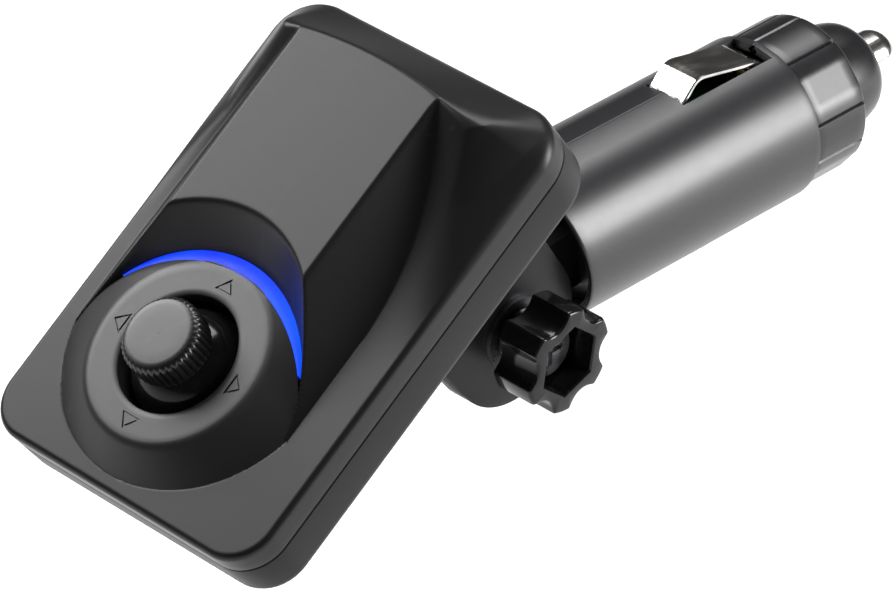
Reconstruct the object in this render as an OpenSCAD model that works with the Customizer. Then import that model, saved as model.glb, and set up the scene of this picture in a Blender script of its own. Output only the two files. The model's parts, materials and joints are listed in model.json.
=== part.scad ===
// Plug-in radar detector: a joystick control head on an accessory-socket plug.
// Frame: X across the head (hinge axis), +Y along the plug to its nose, +Z up.
// The origin is on the plug's axis, at the centre of its slanted rear rim.

/* [Plug barrel] */
// Outside radius of the barrel, for a 21 mm accessory socket
barrel_r = 10.4; // [10.2:0.05:10.6]
// Wall thickness of the barrel shells
barrel_wall = 1.1; // [1:0.1:1.3]
// Length from the rear rim to the nose cap
barrel_len = 38.9; // [38.5:0.1:40]
// Slant of the rear rim, in degrees
rim_slant = 10.5; // [8:0.5:11]

/* [Nose and fuse] */
// Outside radius of the nose cap's grip
cap_r = 9.9; // [9.7:0.05:10]
// Length of the nose cap's grip
cap_len = 8.7; // [8:0.1:9]
// Radius of the centre pin
pin_r = 3.2; // [3:0.05:3.4]
// How far the centre pin stands out of the nose
pin_out = 6.1; // [5:0.1:6.5]

/* [Side contacts] */
// Width of each contact leaf
leaf_w = 5.5; // [5:0.1:6]
// Thickness of each contact leaf
leaf_t = 0.6; // [0.4:0.05:0.7]

/* [Hinge] */
// Hinge axis, along the plug
hinge_y = -9.1; // [-9.4:0.1:-9]
// Hinge axis, above the plug's axis
hinge_z = -4.95; // [-5.1:0.05:-4.8]
// Angle of the head's face above the plug's axis
head_tilt = 55.7; // [40:0.1:60]
// Radius of the head's two ears
ear_r = 9.45; // [9.3:0.05:9.5]
// Outside width over the two ears
fork_w = 14; // [13:0.1:14]
// Thickness of the tongue between the ears
tongue_w = 7; // [6:0.1:7]
// Radius of the clamp screw
screw_r = 2; // [1.8:0.1:2]

/* [Head] */
// Width of the head
head_w = 42.6; // [41:0.1:43]
// Top edge, above the joystick's axis
head_top = 44.05; // [43:0.05:45]
// Bottom edge, below the joystick's axis
head_bottom = 16.7; // [15:0.1:17]
// How far the head's middle sits to the side of the joystick's axis
head_off = 1.6; // [0:0.1:1.6]
// Radius of the head's corners
corner_r = 6; // [6:0.5:8]
// Radius of the head's two bottom corners
toe_r = 5.5; // [4.5:0.1:7.5]
// Depth of the front cover's side wall
front_wall = 3.3; // [3.2:0.1:4]
// Depth of the rear cover's side wall
rear_wall = 5.9; // [5.5:0.1:6.5]
// Thickness of the covers
skin = 1.6; // [1.4:0.1:1.8]
// Height of the raised panel above the front face
panel_h = 6.9; // [6.5:0.1:7.2]
// Half width of the raised panel
panel_x = 10.85; // [10.5:0.05:11.2]

/* [Joystick] */
// Outside radius of the pedestal's top ring
ring_r = 11.23; // [11:0.05:11.5]
// Radius of the opening round the stick
ring_hole_r = 7.34; // [7.2:0.05:7.6]
// Height of the ring above the front face
ring_h = 3.1; // [3:0.1:3.3]
// Radius of the knurled cap
knob_r = 4.6; // [4.4:0.05:4.8]
// Height of the cap's top above the front face
knob_top = 7.8; // [7.5:0.1:8]

/* [Hidden] */
$fn = 96;

black = "#1c1c1e";
gloss_black = "#0e0e10";
nickel = "#c9c6bf";
brass = "#b7954f";
board_green = "#1f5a3a";
tin = "#b9bcc0";

eps = 0.01;
gap = 0.05;                       // between pieces that are fitted together
barrel_in = barrel_r - barrel_wall;
nose_end = barrel_len + cap_len;  // end of the grip
collar_end = nose_end + 8.2;      // end of the rounded collar
pin_tip = collar_end + pin_out;
pin_stop = collar_end - 1.5;      // inside face that the pin's flange rests on
fuse_back = 19.5;
fuse_front = 49.5;
spigot_r = 8.4;
ear_in = tongue_w / 2 + 0.15;     // inner face of each ear
ear_out = fork_w / 2;
head_u = 28.9;                    // hinge above the joystick's axis, in the head
head_n = 34.9;                    // hinge behind the front face
rear_n = -front_wall - rear_wall;
board_top = -4.7;
board_t = 1;
pivot_n = -1.8;                   // centre of the joystick's gimbal
dome_r = 7.4;
ped_r = 17.4;                     // pedestal's base circle
ped_u = 2.6;
seat_r = 16.9;                    // circle of the light strip's outer edge
seat_u = -4;
strip_r = 18.6;                   // circle of the light strip's inner edge
strip_u = -7.5;
knob_front = 15.85;
knob_back = 9.85;
lobes = 6;
lobe_turn = 20;
case_screw_at = [for (sx = [-17.3, 17.3], u = [-11.3, 39.5]) [head_off + sx, u]];
speaker_u = -1;
barrel_screw_y = 14;
barrel_screw_z = 6.4;
lead_z = -2;

// ---- frames ----------------------------------------------------------------

// Children drawn along +Z lie along the plug, +Y, starting at y
module along_plug(y = 0) {
    translate([0, y, 0]) rotate([-90, 0, 0]) children();
}

// Children drawn along +Z lie along +X at the hinge, starting at x
module along_hinge(x = 0) {
    translate([x, hinge_y, hinge_z]) rotate([0, 90, 0]) children();
}

// Children drawn in the head's own frame: X across, Y up the head, Z out of its face
module in_head() {
    translate([0, hinge_y, hinge_z])
        rotate([90 - head_tilt, 0, 0])
            translate([0, -head_u, head_n]) children();
}

module tube(r_out, r_in, h) {
    difference() {
        cylinder(r = r_out, h = h);
        translate([0, 0, -eps]) cylinder(r = r_in, h = h + 2 * eps);
    }
}

// ---- plug ------------------------------------------------------------------

// Everything behind the slanted rear rim
module behind_rim() {
    rotate([rim_slant, 0, 0]) translate([-20, -40, -30]) cube([40, 40, 60]);
}

module contact_slot() {
    slot_w = leaf_w + 0.7;
    translate([-slot_w / 2, 21, 6.7]) cube([slot_w, 16.9, 6]);
}

module barrel() {
    difference() {
        union() {
            difference() {
                along_plug(-3) cylinder(r = barrel_r, h = barrel_len + 3);
                along_plug(-4) cylinder(r = barrel_in, h = barrel_len + 4 - 0.9);
            }
            for (y = [4, 7.2]) along_plug(y) tube(barrel_in + eps, 7.6, 1);
            along_plug(barrel_len - eps) cylinder(r = spigot_r, h = 4.6);
            for (s = [-1, 1])
                translate([-6, barrel_screw_y, s * barrel_screw_z])
                    rotate([0, 90, 0]) cylinder(r = 1.9, h = 11.5);
        }
        behind_rim();
        along_plug(barrel_len - 2) cylinder(r = 4.1 + gap, h = 8);
        along_plug(barrel_len) cylinder(r = 6.4, h = 8);
        contact_slot();
        mirror([0, 0, 1]) contact_slot();
        for (s = [-1, 1])
            translate([-12, barrel_screw_y, s * barrel_screw_z]) rotate([0, 90, 0]) {
                cylinder(r = 1.75, h = 7);
                cylinder(r = 0.95, h = 16.5);
            }
    }
}

module barrel_left() {
    color(black) difference() {
        barrel();
        translate([0, -10, -20]) cube([20, 80, 40]);
    }
}

module barrel_right() {
    color(black) difference() {
        barrel();
        translate([-20, -10, -20]) cube([20, 80, 40]);
    }
}

module barrel_screws() {
    color(tin) for (s = [-1, 1])
        translate([-6.3, barrel_screw_y, s * barrel_screw_z]) rotate([0, 90, 0]) {
            cylinder(r = 1.6, h = 1.25);
            cylinder(r = 0.9, h = 10);
        }
}

module nose_cap() {
    color(gloss_black) along_plug(barrel_len) difference() {
        rotate_extrude() polygon([
            [0, 0], [cap_r, 0], [cap_r, cap_len - 0.5], [cap_r - 0.5, cap_len],
            [7, cap_len], [6.6, cap_len + 3.4], [6.1, cap_len + 5.9],
            [5.4, cap_len + 7.4], [4.4, cap_len + 8.2], [0, cap_len + 8.2]]);
        translate([0, 0, -eps]) cylinder(r = spigot_r + gap, h = 5);
        cylinder(r = 5, h = pin_stop - barrel_len);
        cylinder(r = pin_r + 0.25, h = 40);
        for (a = [15, 64, 116, 165], s = [0, 180])
            rotate([0, 0, a + s]) translate([cap_r - 0.35, -0.4, 0.6])
                cube([2, 0.8, cap_len - 0.6 + eps]);
    }
}

// The plug's arm: a disc on the hinge, a neck, and a flange held by the barrel shells
module hinge_tongue() {
    neck = [[-9.1, -4.95], [-2.1, 0.7], [5.2, 1.25], [5.2, -6.5], [1.2, -7], [-3, -11.55]];
    color(black) difference() {
        union() {
            along_hinge(-tongue_w / 2) cylinder(r = 9, h = tongue_w);
            translate([-tongue_w / 2, 0, 0]) rotate([90, 0, 90])
                linear_extrude(tongue_w) polygon(neck);
            along_plug(5 + gap) cylinder(r = barrel_in - gap, h = 2.1);
        }
        along_hinge(-10) cylinder(r = screw_r + gap, h = 20);
        translate([0, 0, lead_z]) along_plug(-2) cylinder(r = 1.1, h = 12);
    }
}

module fuse_sleeve() {
    color("#d8d2c4") along_plug(9.5) tube(4.1, 3.4, 34);
}

module spring_seat() {
    color(brass) along_plug(9.5) cylinder(r = 3.4 - gap, h = 0.6);
}

// Strap round the sleeve that joins the two side contacts
module contact_strap() {
    color(brass) {
        along_plug(35.4) tube(4.8, 4.1 + gap, 2.4);
        for (s = [0, 1]) mirror([0, 0, s])
            translate([-2.2, 36, 4.6]) cube([4.4, 1.8, 2]);
    }
}

module power_board() {
    color(board_green) translate([-5.3, 16.5, -4.2]) cube([1, 18.5, 8.4]);
}

module power_parts() {
    x = -5.3 - gap;
    color(tin) {
        translate([x, 31, 0]) rotate([0, -90, 0]) cylinder(r = 2.4, h = 2.7);
        translate([x - 2.2, 22, -2.4]) cube([2.2, 4.8, 4.8]);
        translate([x - 1, 17.5, -1.8]) cube([1, 3.4, 3.6]);
    }
}

module plug_lead() {
    color("#2a2a2c") translate([0, 0, lead_z]) along_plug(-1.5) cylinder(r = 1, h = 10.6);
}

// ---- centre contact ---------------------------------------------------------

module center_pin() {
    color(nickel) along_plug(fuse_front + gap) {
        shank = pin_tip - pin_r - fuse_front - gap;
        cylinder(r = pin_r, h = shank);
        translate([0, 0, shank]) intersection() {
            sphere(r = pin_r);
            translate([0, 0, 0]) cylinder(r = pin_r + 1, h = pin_r + 1);
        }
        translate([0, 0, pin_stop - 1.7 - fuse_front]) cylinder(r = 4.7, h = 1.5);
    }
}

module fuse_glass() {
    color("#cfe3ea", 0.5) along_plug(fuse_back + 0.6) tube(2.8, 2.2, fuse_front - fuse_back - 1.2);
}

module fuse_caps() {
    cap = 6;
    color(nickel) {
        for (y = [fuse_back, fuse_front - cap])
            along_plug(y) tube(3.15, 2.8 + 0.03, cap);
        along_plug(fuse_back) cylinder(r = 3, h = 0.55);
        along_plug(fuse_front - 0.55) cylinder(r = 3, h = 0.55);
        along_plug(fuse_back + 0.5) cylinder(r = 0.2, h = fuse_front - fuse_back - 1);
    }
}

// Compression spring between its seat and the fuse, a wire swept along a helix
module pin_spring() {
    turns = 6;
    wire = 0.32;
    coil = 2.6;
    start = 10.2 + wire;
    rise = fuse_back - 0.15 - wire - start;
    steps = 16 * turns;
    sides = 8;
    points = [for (i = [0:steps], j = [0:sides - 1])
        let (a = 360 * turns * i / steps, b = 360 * j / sides, r = coil + wire * cos(b))
        [r * cos(a), start + rise * i / steps + wire * sin(b), r * sin(a)]];
    walls = [for (i = [0:steps - 1], j = [0:sides - 1])
        let (k = (j + 1) % sides)
        [i * sides + j, i * sides + k, (i + 1) * sides + k, (i + 1) * sides + j]];
    start_face = [for (j = [sides - 1:-1:0]) j];
    end_face = [for (j = [0:sides - 1]) steps * sides + j];
    color(tin) polyhedron(points, concat([start_face], walls, [end_face]));
}

// ---- side contacts ----------------------------------------------------------

// A strip of constant thickness along points, in the plane it is drawn in
module bent_strip(points, t) {
    for (i = [0:len(points) - 1]) translate(points[i]) circle(d = t, $fn = 24);
    for (i = [0:len(points) - 2]) {
        d = points[i + 1] - points[i];
        translate(points[i]) rotate(atan2(d[1], d[0]))
            translate([0, -t / 2]) square([norm(d), t]);
    }
}

module side_contact_top() {
    path = [[36.6, 7.2], [37.2, 7.4], [37.45, 8.4], [36.6, 9.5], [35.2, 10.1],
        [26.2, 12.05], [25.4, 11.85], [22.7, 9.3], [22, 8.1]];
    color(nickel) translate([-leaf_w / 2, 0, 0]) rotate([90, 0, 90])
        linear_extrude(leaf_w) bent_strip(path, leaf_t);
}

module side_contact_bottom() {
    mirror([0, 0, 1]) side_contact_top();
}

// ---- head covers ------------------------------------------------------------

// The head's outline, drawn in from its edge by inset
module head2d(inset = 0) {
    x = head_w / 2 - inset;
    lo = -head_bottom + inset;
    hi = head_top - inset;
    r = corner_r - inset;
    toe = toe_r - inset;
    translate([head_off, 0]) hull() for (sx = [-1, 1]) {
        translate([sx * (x - toe), lo + toe]) circle(r = toe);
        translate([sx * (x - r), hi - r]) circle(r = r);
    }
}

module seat2d(grow = 0) {
    intersection() {
        translate([0, ped_u]) circle(r = ped_r + grow);
        translate([0, seat_u]) circle(r = seat_r + grow);
    }
}

module strip2d(grow = 0) {
    difference() {
        translate([0, seat_u]) circle(r = seat_r + grow);
        translate([0, strip_u]) circle(r = strip_r - grow);
    }
}

// The solid under the raised panel, with its flared flanks and its shoulders
module panel_solid(inset = 0) {
    top = panel_h - inset;
    hull() {
        translate([0, 0, top - 0.1]) linear_extrude(0.1) polygon([
            [-panel_x + inset, 8], [panel_x - inset, 8], [panel_x - inset, 38.2 - inset],
            [0, 39.1 - inset], [-panel_x + inset, 38.2 - inset]]);
        translate([0, 0, -0.2]) linear_extrude(0.1) polygon([
            [-17 + inset, 1], [17 - inset, 1], [16.5 - inset, 20], [15 - inset, 42.8 - inset],
            [-15 + inset, 42.8 - inset], [-16.5 + inset, 20]]);
    }
    hull() {
        translate([0, 0, top * 0.62]) linear_extrude(0.1) polygon([
            [-16.4 + inset, 36.5], [16.4 - inset, 36.5], [14.5 - inset, 40.8 - inset], [-14.5 + inset, 40.8 - inset]]);
        translate([0, 0, -0.2]) linear_extrude(0.1) polygon([
            [-16 + inset, 18], [16 - inset, 18], [19.2 - inset, 30], [18.9 - inset, 38.6 - inset],
            [15 - inset, 42.8 - inset], [-15 + inset, 42.8 - inset], [-18.9 + inset, 38.6 - inset],
            [-19.2 + inset, 30]]);
    }
}

// The hollow that falls from the raised panel to the light strip
module scoop(grow = 0) {
    low = 2;
    low_r = 13.6 + grow;
    translate([0, 0, low]) cylinder(r1 = low_r, r2 = 17.1 + grow, h = panel_h - low);
    translate([0, 0, panel_h - eps]) cylinder(r = 17.1 + grow, h = 3);
    translate([0, 0, -1]) cylinder(r = low_r, h = low + 1 + eps);
}

module front_cover() {
    color(black) in_head() {
        difference() {
            union() {
                difference() {
                    translate([0, 0, -front_wall]) linear_extrude(front_wall) head2d();
                    translate([0, 0, -front_wall - 1]) linear_extrude(front_wall - skin + 1) head2d(skin);
                }
                difference() {
                    panel_solid();
                    scoop();
                }
            }
            difference() {
                translate([0, 0, -skin]) panel_solid(skin);
                translate([0, 0, -5]) linear_extrude(20) seat2d(skin + gap);
                scoop(skin);
            }
            translate([0, 0, -3]) linear_extrude(20) seat2d(gap);
        }
        for (at = case_screw_at) translate([at[0], at[1], -front_wall]) tube_blind(2.3, 0.95, 2.5, 2.2);
    }
}

module tube_blind(r_out, r_in, h, deep) {
    difference() {
        cylinder(r = r_out, h = h);
        translate([0, 0, -eps]) cylinder(r = r_in, h = deep);
    }
}

// One ear and its flank, down to the back of the rear cover
module ear2d() {
    reach = head_n + rear_n;
    circle(r = ear_r);
    polygon([[-ear_r, 0], [ear_r, 0], [ear_r + 2, reach + 0.5], [-ear_r - 1, reach + 0.5]]);
}

module rear_cover() {
    post_h = -rear_n - 1 - front_wall - gap;
    color(black) in_head() difference() {
        union() {
            difference() {
                translate([0, 0, rear_n]) linear_extrude(rear_wall) head2d();
                translate([0, 0, rear_n + skin]) linear_extrude(rear_wall) head2d(skin);
            }
            for (at = case_screw_at) translate([at[0], at[1], rear_n + 1]) cylinder(r = 2.4, h = post_h);
            translate([-ear_out, head_u, -head_n]) rotate([90, 0, 90]) difference() {
                linear_extrude(fork_w) ear2d();
                translate([0, 0, ear_out - ear_in]) linear_extrude(2 * ear_in) {
                    circle(r = 10.4);
                    translate([-20, -20]) square([40, 20.1]);
                }
            }
        }
        translate([-10, head_u, -head_n]) rotate([0, 90, 0]) cylinder(r = screw_r + gap, h = 20);
        translate([-ear_out - eps, head_u, -head_n]) rotate([0, 90, 0]) cylinder(r = 4.1, h = 2.35, $fn = 6);
        translate([0, head_u, -head_n]) cylinder(r = 1.3, h = head_n);
        for (at = case_screw_at) translate([at[0], at[1], rear_n - 1]) {
            cylinder(r = 1.75, h = 2.4);
            cylinder(r = 1, h = 12);
        }
        translate([0, speaker_u, rear_n - 1]) {
            cylinder(r = 0.6, h = 3);
            for (a = [0:60:300]) rotate(a) translate([2.6, 0]) cylinder(r = 0.6, h = 3);
        }
    }
}

// ---- joystick pedestal and light ---------------------------------------------

module pedestal_solid(inset = 0) {
    hull() {
        translate([0, ped_u, 0]) cylinder(r = ped_r - inset, h = eps, $fn = 72);
        translate([0, 0, ring_h - inset - eps]) cylinder(r = ring_r - inset * 0.7, h = eps, $fn = 72);
    }
}

module joystick_bezel() {
    color(black) in_head() difference() {
        union() {
            intersection() {
                pedestal_solid();
                linear_extrude(10) seat2d();
            }
            translate([0, 0, -1.7]) linear_extrude(1.7 + eps) seat2d();
            translate([0, 0, -2.4]) linear_extrude(0.7 + eps) intersection() {
                seat2d(1);
                head2d(skin + gap);
            }
        }
        pedestal_solid(1.2);
        translate([0, 0, -3]) linear_extrude(3 + 2 * eps) seat2d(-2);
        cylinder(r = ring_hole_r, h = 10);
        translate([0, 0, -3]) linear_extrude(10) strip2d(gap);
    }
}

module light_guide() {
    color("#1f4cff") in_head() intersection() {
        union() {
            pedestal_solid();
            translate([0, 0, -3.3]) linear_extrude(3.3 + eps) seat2d(5);
        }
        translate([0, 0, -3.3]) linear_extrude(12) strip2d();
    }
}

// ---- inside the head ----------------------------------------------------------

module main_board() {
    color(board_green) in_head() translate([0, 0, board_top - board_t]) linear_extrude(board_t)
        difference() {
            head2d(skin + 0.5);
            for (at = case_screw_at) translate(at) circle(r = 2.9);
            for (at = case_screw_at) translate([at[0] > 0 ? at[0] + 3 : at[0] - 3, at[1] > 0 ? at[1] + 3 : at[1] - 3])
                circle(r = 3.5);
        }
}

module receiver_module() {
    color(tin) in_head() difference() {
        translate([-8.6, 20.2, board_top + gap]) cube([17.2, 15.6, 5.2]);
        translate([-6.8, 34.2, board_top + 1.4]) cube([13.6, 3, 3.5]);
    }
}

module patch_antenna() {
    color("#c9b48a") in_head() translate([-6.5, 21.5, board_top + 5.3]) cube([13, 13, 2.8]);
}

module shield_can() {
    color(tin) in_head() translate([-8, 12.5, board_top - board_t - 1.75]) cube([16, 11, 1.7]);
}

module speaker() {
    color(gloss_black) in_head() translate([0, speaker_u, rear_n + skin + gap]) cylinder(r = 6.5, h = 1.7);
}

module blue_leds() {
    color("#dfe8ff") in_head() for (at = [[-8, 9.6], [0, 11.9], [8, 9.6]])
        translate([at[0] - 1.4, at[1] - 0.6, board_top + gap]) cube([2.8, 1.2, 1.1]);
}

module board_connector() {
    color("#e6e2d6") in_head() translate([-3, 24.3, board_top - board_t - 1.75]) cube([6, 3, 1.7]);
}

module head_lead() {
    color("#2a2a2c") in_head() translate([0, head_u, -23.9]) cylinder(r = 1, h = 17.5);
}

module case_screws() {
    color(tin) in_head() for (at = case_screw_at) translate([at[0], at[1], rear_n + 0.35]) {
        cylinder(r = 1.6, h = 1.04);
        cylinder(r = 0.9, h = 7);
    }
}

module clamp_nut() {
    color(tin) along_hinge(-ear_out + gap) difference() {
        rotate(90 - head_tilt) cylinder(r = 4.02, h = 2.2, $fn = 6);
        translate([0, 0, -1]) cylinder(r = screw_r + gap, h = 5);
    }
}

// ---- joystick -------------------------------------------------------------------

module switch_housing() {
    color(tin) in_head() translate([0, 0, board_top + gap]) difference() {
        translate([-4.5, -4.5, 0]) cube([9, 9, 4.2]);
        translate([-3.8, -3.8, 0.3]) cube([7.6, 7.6, 5]);
        translate([-10, 0, pivot_n - board_top - gap]) rotate([0, 90, 0]) cylinder(r = 0.45, h = 20);
        translate([0, 0, -1]) cylinder(r = 2.4, h = 5);
    }
}

module press_switch() {
    color(nickel) in_head() translate([0, 0, board_top + gap]) cylinder(r = 2, h = 0.35);
}

module gimbal_ring() {
    color(nickel) in_head() translate([0, 0, pivot_n]) difference() {
        union() {
            translate([0, 0, -0.8]) cylinder(r = 3.3, h = 1.6);
            translate([-4.4, 0, 0]) rotate([0, 90, 0]) cylinder(r = 0.4, h = 8.8);
        }
        translate([0, 0, -1]) cylinder(r = 2.4, h = 2);
        translate([0, 10, 0]) rotate([90, 0, 0]) cylinder(r = 0.45, h = 20);
    }
}

module stick_carrier() {
    color("#e6e2d6") in_head() translate([0, 0, pivot_n]) difference() {
        union() {
            translate([0, 0, -0.9]) cylinder(r = 1.9, h = 1.8);
            translate([0, 3.2, 0]) rotate([90, 0, 0]) cylinder(r = 0.4, h = 6.4);
        }
        translate([0, 0, -2]) cylinder(r = 1.05, h = 4);
    }
}

module stick() {
    color(tin) in_head() translate([0, 0, pivot_n - 1.85]) cylinder(r = 1, h = 10.3);
}

module knob_dome() {
    color(gloss_black) in_head() difference() {
        union() {
            translate([0, 0, pivot_n]) difference() {
                sphere(r = dome_r);
                sphere(r = dome_r - 0.8);
            }
            translate([0, 0, 2.3]) cylinder(r = 1.8, h = 2.7);
        }
        translate([-15, -15, -19.8]) cube([30, 30, 20]);
        cylinder(r = 1 + gap / 2, h = 12);
    }
}

module knob_cap() {
    ribs = 36;
    base = ring_h;
    color(gloss_black) in_head() difference() {
        union() {
            translate([0, 0, base]) cylinder(r = knob_r, h = knob_top - base);
            for (i = [0:ribs - 1]) rotate(360 * i / ribs)
                translate([knob_r - 0.05, 0, base]) cylinder(r = 0.24, h = knob_top - base - 0.4, $fn = 16);
        }
        translate([0, 0, pivot_n]) sphere(r = dome_r + gap / 2);
        cylinder(r = 1 + gap / 2, h = knob_top - 1.1);
    }
}

// ---- clamp -----------------------------------------------------------------------

module clamp_washer() {
    color(tin) along_hinge(ear_out + gap) tube(4.6, screw_r + gap, 0.6);
}

module clamp_screw() {
    color(tin) {
        along_hinge(-ear_out + 0.1) cylinder(r = screw_r, h = knob_back + 1.2 + ear_out);
        along_hinge(knob_back + 1.2) difference() {
            cylinder(r = 3.1, h = 1.7);
            for (a = [0, 90]) rotate(a) translate([-1.9, -0.35, 0.8]) cube([3.8, 0.7, 1]);
        }
    }
}

module thumb_knob() {
    color(gloss_black) difference() {
        union() {
            along_hinge(knob_back) difference() {
                cylinder(r = 6.5, h = knob_front - knob_back);
                for (i = [0:lobes - 1]) rotate(90 - lobe_turn + 30 + 60 * i)
                    translate([8, 0, -1]) cylinder(r = 3.1, h = 8);
            }
            along_hinge(ear_out + 0.75) cylinder(r = 3.4, h = 3);
        }
        along_hinge(0) cylinder(r = screw_r + gap, h = 20);
        along_hinge(knob_back + 1.15) rotate(90 - lobe_turn) cylinder(r = 4.5, h = 8, $fn = 6);
    }
}

barrel_left();
barrel_right();
nose_cap();
hinge_tongue();
fuse_sleeve();
spring_seat();
contact_strap();
power_board();
power_parts();
plug_lead();
barrel_screws();
center_pin();
fuse_glass();
fuse_caps();
pin_spring();
side_contact_top();
side_contact_bottom();
front_cover();
rear_cover();
joystick_bezel();
light_guide();
main_board();
receiver_module();
patch_antenna();
shield_can();
speaker();
blue_leds();
board_connector();
head_lead();
switch_housing();
press_switch();
case_screws();
clamp_nut();
gimbal_ring();
stick_carrier();
stick();
knob_dome();
knob_cap();
clamp_washer();
clamp_screw();
thumb_knob();
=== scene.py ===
import json
import math

import bmesh
import bpy
import numpy as np
from mathutils import Matrix, Vector

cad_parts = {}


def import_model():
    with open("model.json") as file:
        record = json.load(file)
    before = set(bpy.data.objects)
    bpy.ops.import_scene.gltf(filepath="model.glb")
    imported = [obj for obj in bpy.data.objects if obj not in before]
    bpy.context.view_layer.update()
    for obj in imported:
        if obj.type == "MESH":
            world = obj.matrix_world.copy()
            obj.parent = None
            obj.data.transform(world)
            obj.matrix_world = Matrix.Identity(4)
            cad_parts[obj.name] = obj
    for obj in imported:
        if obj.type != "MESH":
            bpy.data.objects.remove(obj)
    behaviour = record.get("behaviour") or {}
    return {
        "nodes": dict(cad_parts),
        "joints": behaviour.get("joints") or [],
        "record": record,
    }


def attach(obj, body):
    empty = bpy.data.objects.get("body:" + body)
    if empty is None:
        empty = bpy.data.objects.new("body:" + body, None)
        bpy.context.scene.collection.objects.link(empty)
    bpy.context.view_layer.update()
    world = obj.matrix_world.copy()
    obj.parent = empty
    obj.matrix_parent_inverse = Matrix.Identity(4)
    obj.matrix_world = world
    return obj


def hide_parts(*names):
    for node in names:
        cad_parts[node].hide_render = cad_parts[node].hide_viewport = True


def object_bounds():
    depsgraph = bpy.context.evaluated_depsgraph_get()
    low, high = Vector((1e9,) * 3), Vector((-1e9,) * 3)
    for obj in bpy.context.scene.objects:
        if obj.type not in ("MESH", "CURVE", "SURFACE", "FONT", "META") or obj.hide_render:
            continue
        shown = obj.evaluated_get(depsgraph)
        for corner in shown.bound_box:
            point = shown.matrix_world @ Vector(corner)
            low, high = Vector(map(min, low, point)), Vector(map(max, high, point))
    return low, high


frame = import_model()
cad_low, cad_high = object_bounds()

# ---- frames, in millimetres --------------------------------------------------

MM = 0.001
joints = {j["name"]: j for j in frame["joints"]}
HINGE = Vector(joints["head_tilt"]["pos_m"]) / MM
STICK = Vector(joints["stick_sideways"]["pos_m"]) / MM
UP = Vector(joints["stick_sideways"]["axis"])
OUT = -Vector(joints["stick_press"]["axis"])
PIVOT_H = -1.8                       # the joystick's pivot, behind the front face
FACE = STICK - PIVOT_H * OUT
HINGE_H = (HINGE - FACE).dot(OUT)


def placed(x_axis, y_axis, z_axis, origin):
    """The matrix that takes a piece's own axes, in millimetres, to the row frame."""
    m = Matrix.Identity(4)
    for column, axis in enumerate((x_axis, y_axis, z_axis, origin)):
        for row in range(3):
            m[row][column] = axis[row]
    return m


X, Y, Z = Vector((1, 0, 0)), Vector((0, 1, 0)), Vector((0, 0, 1))
HEAD = placed(X, UP, OUT, FACE)                    # x across, y up the head, z out of its face
AXLE = placed(X, Z, Y, Vector((0, 0, 0)))          # z along the plug
ROW = Matrix.Identity(4)
STAR = placed(Y, Z, X, Vector((0, HINGE.y, HINGE.z)))   # z along the hinge


# ---- mesh helpers ------------------------------------------------------------

def make_mesh(name, points, faces, place, sharp=35):
    """A mesh object from points in millimetres; edges over the sharp angle stay crisp."""
    data = bpy.data.meshes.new(name)
    data.from_pydata([place @ Vector(p) * MM for p in points], [], faces)
    return finished(name, data, sharp)


def finished(name, data, sharp=35):
    """An object round the mesh, its doubled points joined and its edges marked."""
    bm = bmesh.new()
    bm.from_mesh(data)
    bmesh.ops.remove_doubles(bm, verts=bm.verts, dist=1e-7)
    bmesh.ops.recalc_face_normals(bm, faces=bm.faces)
    mark_sharp(bm, sharp)
    bm.to_mesh(data)
    bm.free()
    piece = bpy.data.objects.new(name, data)
    bpy.context.scene.collection.objects.link(piece)
    return piece


def mark_sharp(bm, sharp):
    """Smooth shading, with a crisp edge wherever the surface turns by more than sharp degrees."""
    limit = math.radians(sharp)
    for face in bm.faces:
        face.smooth = True
    for edge in bm.edges:
        edge.smooth = edge.calc_face_angle(0) < limit


def loft(rings, closed=True):
    """Faces between rings of equal length; closed joins the last ring to the first."""
    count = len(rings[0])
    points = [p for ring in rings for p in ring]
    faces = []
    spans = len(rings) if closed else len(rings) - 1
    for i in range(spans):
        a, b = i * count, (i + 1) % len(rings) * count
        for j in range(count):
            k = (j + 1) % count
            faces.append((a + j, a + k, b + k, b + j))
    return points, faces


def lathe(name, profile, place, steps=96, radius=None, closed=True, sharp=35):
    """Turns (radius, height) pairs about the place's z axis; radius(r, z, angle) may vary it."""
    rings = []
    for r, z in profile:
        ring = []
        for a in angles(steps):
            rr = radius(r, z, a) if radius else r
            ring.append((rr * math.cos(a), rr * math.sin(a), z))
        rings.append(ring)
    return make_mesh(name, *loft(rings, closed), place, sharp)


def angles(steps):
    """Equal steps round a circle, or the list of angles that was given."""
    if isinstance(steps, (list, tuple)):
        return steps
    return [2 * math.pi * i / steps for i in range(steps)]


def prism(name, outline, low, high, place, round_edge=0.0, segments=2):
    """An outline in the place's x and y, drawn from low to high, its rims rounded."""
    bm = bmesh.new()
    rings = [[bm.verts.new((*p, z)) for p in outline] for z in (low, high)]
    caps = [bm.faces.new(rings[0][::-1]), bm.faces.new(rings[1])]
    count = len(outline)
    for i in range(count):
        k = (i + 1) % count
        bm.faces.new((rings[0][i], rings[0][k], rings[1][k], rings[1][i]))
    if round_edge:
        rims = {e for cap in caps for e in cap.edges}
        bmesh.ops.bevel(bm, geom=list(rims), offset=round_edge, segments=segments,
                        profile=0.5, affect="EDGES", clamp_overlap=True)
    for v in bm.verts:
        v.co = place @ v.co * MM
    data = bpy.data.meshes.new(name)
    bm.to_mesh(data)
    bm.free()
    return finished(name, data)


def combine(piece, other, operation, sharp=35):
    """Applies a boolean with the other piece, which is used up."""
    cut = piece.modifiers.new("combine", "BOOLEAN")
    cut.operation, cut.object, cut.solver = operation, other, "EXACT"
    apply_modifiers(piece, sharp)
    bpy.data.objects.remove(other)
    return piece


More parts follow.
